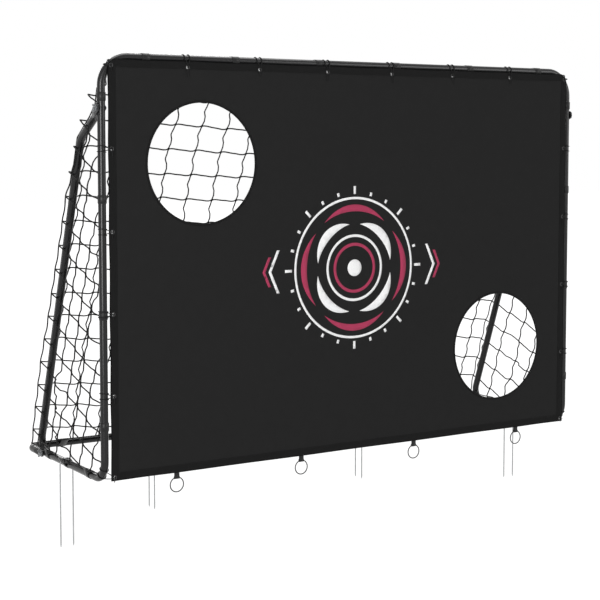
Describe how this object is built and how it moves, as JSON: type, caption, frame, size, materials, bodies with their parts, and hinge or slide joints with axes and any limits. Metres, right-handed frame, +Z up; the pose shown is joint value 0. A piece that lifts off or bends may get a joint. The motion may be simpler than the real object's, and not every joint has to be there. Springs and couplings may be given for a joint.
{
  "type": "garden goal with target sheet",
  "caption": "Plug-together tube lawn goal with a net behind and a taut front sheet that has two round target holes; ties, straps, wing nuts and ground stakes hold it",
  "frame": {"origin": "on the ground, midway between the posts and below the top bar's axis", "axes": "+X along the top bar, +Y from the front plane back to the rear bar, +Z up"},
  "size_m": [2.1844, 0.7412, 1.8049],
  "materials": {
    "frame_paint": "satin powder coat",
    "zinc": "bright zinc plate",
    "galvanised_wire": "dull galvanised wire",
    "sheet_cloth": null,
    "tie_cord": "braided cord",
    "net_twine": "twisted twine",
    "webbing": "woven webbing",
    "ring_wire": "black coating"
  },
  "bodies": {
    "frame": {"corner_tube_left": "frame_paint", "top_bar_left": "frame_paint", "post_left": "frame_paint", "foot_tube_left": "frame_paint", "stay_upper_left": "frame_paint", "stay_lower_left": "frame_paint", "rear_bar_left": "frame_paint", "top_bolt_left": "zinc", "rear_bolt_left": "zinc", "corner_tube_right": "frame_paint", "top_bar_right": "frame_paint", "post_right": "frame_paint", "foot_tube_right": "frame_paint", "stay_upper_right": "frame_paint", "stay_lower_right": "frame_paint", "rear_bar_right": "frame_paint", "top_bolt_right": "zinc", "rear_bolt_right": "zinc", "washers": "zinc", "target_sheet": "sheet_cloth", "eyelets": "zinc", "ties_top": "tie_cord", "ties_left": "tie_cord", "ties_right": "tie_cord", "ring_tabs": "webbing", "net_back_lower": "net_twine", "net_back_upper": "net_twine", "net_left": "net_twine", "net_right": "net_twine", "straps_top": "webbing", "straps_left": "webbing", "straps_right": "webbing", "straps_rear": "webbing"},
    "top_wing_nut_left": {"top_wing_nut_left": "zinc"},
    "rear_wing_nut_left": {"rear_wing_nut_left": "zinc"},
    "snap_button_left": {"snap_button_left": "zinc"},
    "top_wing_nut_right": {"top_wing_nut_right": "zinc"},
    "rear_wing_nut_right": {"rear_wing_nut_right": "zinc"},
    "snap_button_right": {"snap_button_right": "zinc"},
    "ring_1": {"ring_1": "ring_wire"},
    "ring_2": {"ring_2": "ring_wire"},
    "ring_3": {"ring_3": "ring_wire"},
    "ring_4": {"ring_4": "ring_wire"},
    "stake_left": {"stake_left": "galvanised_wire"},
    "stake_right": {"stake_right": "galvanised_wire"},
    "stake_rear_left": {"stake_rear_left": "galvanised_wire"},
    "stake_rear_right": {"stake_rear_right": "galvanised_wire"}
  },
  "joints": [
    {"name": "top_wing_nut_left_spin", "type": "hinge", "parent": "frame", "child": "top_wing_nut_left", "pos_m": [-1.0832, 0, 1.31], "axis": [1, 0, 0], "continuous": true},
    {"name": "rear_wing_nut_left_spin", "type": "hinge", "parent": "frame", "child": "rear_wing_nut_left", "pos_m": [-1.0832, 0.545, 0.014], "axis": [1, 0, 0], "continuous": true},
    {"name": "snap_button_left_press", "type": "slide", "parent": "frame", "child": "snap_button_left", "axis": [1, 0, 0], "range_m": [0, 0.0035], "stiffness_N_per_m": 300},
    {"name": "top_wing_nut_right_spin", "type": "hinge", "parent": "frame", "child": "top_wing_nut_right", "pos_m": [1.0832, 0, 1.31], "axis": [1, 0, 0], "continuous": true},
    {"name": "rear_wing_nut_right_spin", "type": "hinge", "parent": "frame", "child": "rear_wing_nut_right", "pos_m": [1.0832, 0.545, 0.014], "axis": [1, 0, 0], "continuous": true},
    {"name": "snap_button_right_press", "type": "slide", "parent": "frame", "child": "snap_button_right", "axis": [-1, 0, 0], "range_m": [0, 0.0035], "stiffness_N_per_m": 300},
    {"name": "ring_1_swing", "type": "hinge", "parent": "frame", "child": "ring_1", "pos_m": [-0.7875, -0.017, -0.003], "axis": [1, 0, 0], "range_deg": [-90, 90]},
    {"name": "ring_2_swing", "type": "hinge", "parent": "frame", "child": "ring_2", "pos_m": [-0.2625, -0.017, -0.003], "axis": [1, 0, 0], "range_deg": [-90, 90]},
    {"name": "ring_3_swing", "type": "hinge", "parent": "frame", "child": "ring_3", "pos_m": [0.2625, -0.017, -0.003], "axis": [1, 0, 0], "range_deg": [-90, 90]},
    {"name": "ring_4_swing", "type": "hinge", "parent": "frame", "child": "ring_4", "pos_m": [0.7875, -0.017, -0.003], "axis": [1, 0, 0], "range_deg": [-90, 90]},
    {"name": "stake_left_pull", "type": "slide", "parent": "frame", "child": "stake_left", "axis": [0, 0, 1], "range_m": [0, 0.3]},
    {"name": "stake_right_pull", "type": "slide", "parent": "frame", "child": "stake_right", "axis": [0, 0, 1], "range_m": [0, 0.3]},
    {"name": "stake_rear_left_pull", "type": "slide", "parent": "frame", "child": "stake_rear_left", "axis": [0, 0, 1], "range_m": [0, 0.3]},
    {"name": "stake_rear_right_pull", "type": "slide", "parent": "frame", "child": "stake_rear_right", "axis": [0, 0, 1], "range_m": [0, 0.3]}
  ]
}
